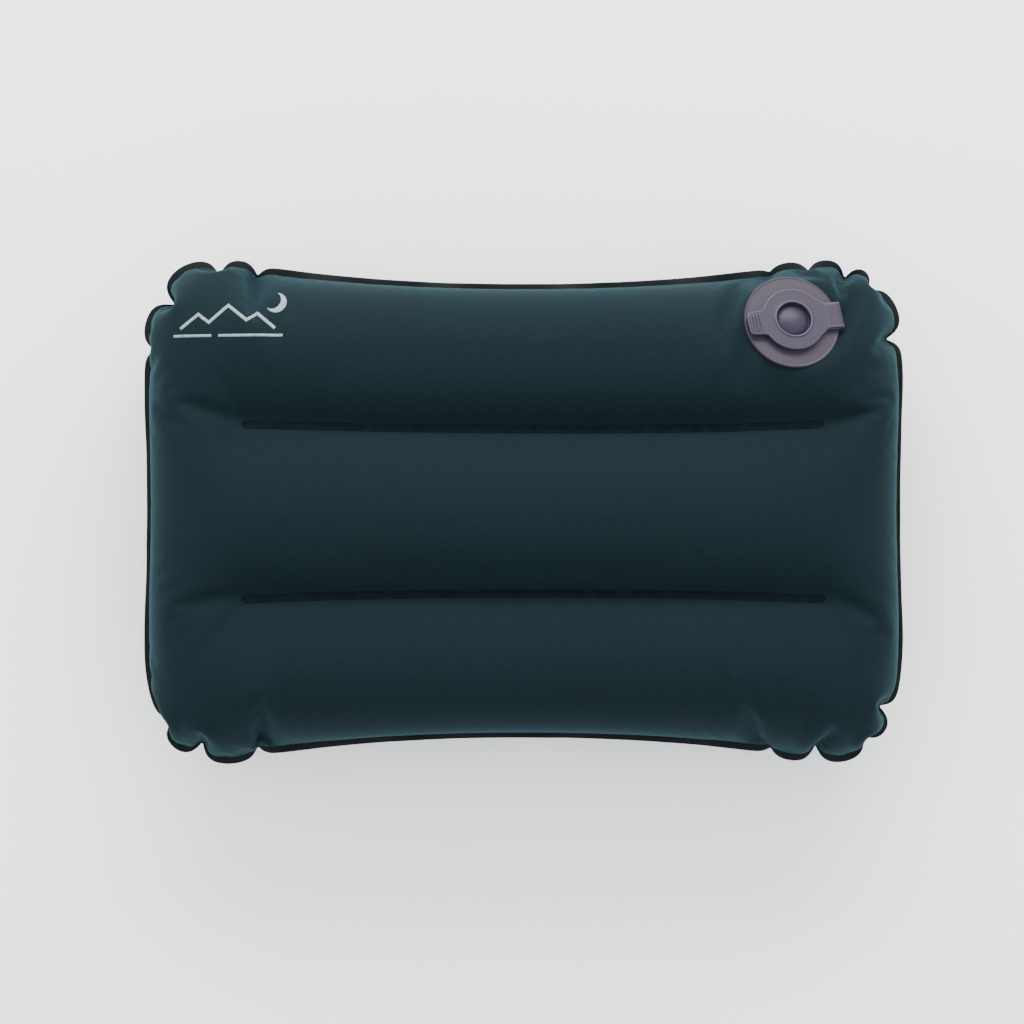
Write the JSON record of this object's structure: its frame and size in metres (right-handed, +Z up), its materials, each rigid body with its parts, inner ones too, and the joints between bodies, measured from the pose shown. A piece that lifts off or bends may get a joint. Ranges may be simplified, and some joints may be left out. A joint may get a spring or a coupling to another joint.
{
  "type": "inflatable camp pillow",
  "caption": "Rectangular inflatable camping pillow with sunken weld lines along its length, a welded rim and a flat push-in air valve with a tethered lid.",
  "frame": {"origin": "on the ground at the middle of the pillow's footprint, pillow lying flat and inflated", "axes": "+X along the long side towards the end with the valve; +Y across, towards the long side with the valve; +Z up, the valve faces up"},
  "size_m": [0.3872, 0.2524, 0.0953],
  "materials": {
    "shell_fabric": "matte fine-weave coated polyester, dark teal",
    "rim": "welded double layer, darker and flatter than the panels",
    "rib_film": "thin welded film",
    "valve_soft_plastic": "soft matte moulded plastic, mauve grey",
    "valve_inner": "moulded plastic",
    "valve_rubber": "soft rubber"
  },
  "bodies": {
    "pillow": {"front_panel": "shell_fabric", "back_panel": "shell_fabric", "edge_weld_band": "rim", "upper_rib": "rib_film", "lower_rib": "rib_film", "valve_base": "valve_soft_plastic", "check_seat": "valve_inner", "tether_strap": "valve_soft_plastic"},
    "cap": {"valve_cap": "valve_soft_plastic"},
    "flap": {"check_flap": "valve_rubber"}
  },
  "joints": [
    {"name": "cap_hinge", "type": "hinge", "parent": "pillow", "child": "cap", "pos_m": [0.15599, 0.09721, 0.07695], "axis": [-0.1762, 0.9409, -0.2894], "range_deg": [0, 150], "deforming": ["tether_strap"]},
    {"name": "flap_press", "type": "slide", "parent": "pillow", "child": "flap", "axis": [0.1571, 0.3171, 0.9353], "range_m": [-0.0025, 0], "stiffness_N_per_m": 60}
  ]
}
